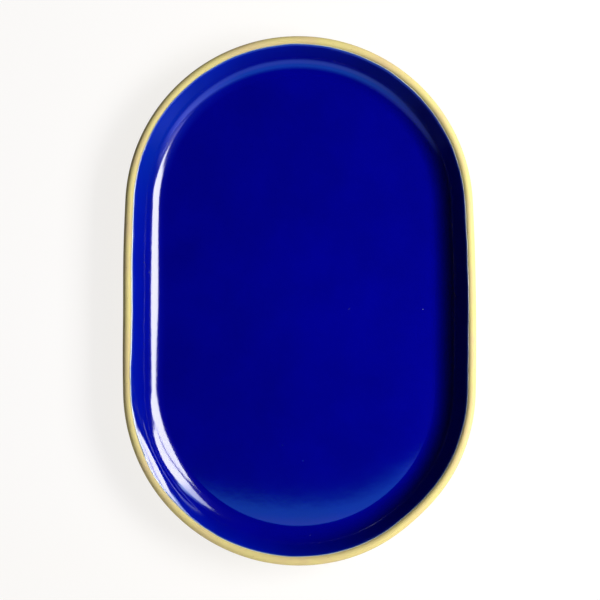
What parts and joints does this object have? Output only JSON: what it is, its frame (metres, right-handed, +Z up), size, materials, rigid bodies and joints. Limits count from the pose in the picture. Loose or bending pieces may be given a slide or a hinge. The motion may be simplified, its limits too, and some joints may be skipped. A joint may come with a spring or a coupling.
{
  "type": "oval tray",
  "caption": "Shallow oval serving tray of stoneware with round ends, a flared wall, a bare rounded clay lip and a well coated in glossy blue glaze, for carrying and serving food.",
  "frame": {"origin": "middle of the plane that the foot ring stands on, under the middle of the tray", "axes": "+X across the tray, +Y along its length, +Z up out of the well"},
  "size_m": [0.203, 0.305, 0.022],
  "materials": {
    "buff_stoneware": "bare fired clay, matt, smoothed with a sponge",
    "cobalt_glaze": "glossy fired glaze"
  },
  "bodies": {
    "root": {"stoneware_body": "buff_stoneware", "cobalt_glaze": "cobalt_glaze"}
  },
  "joints": []
}
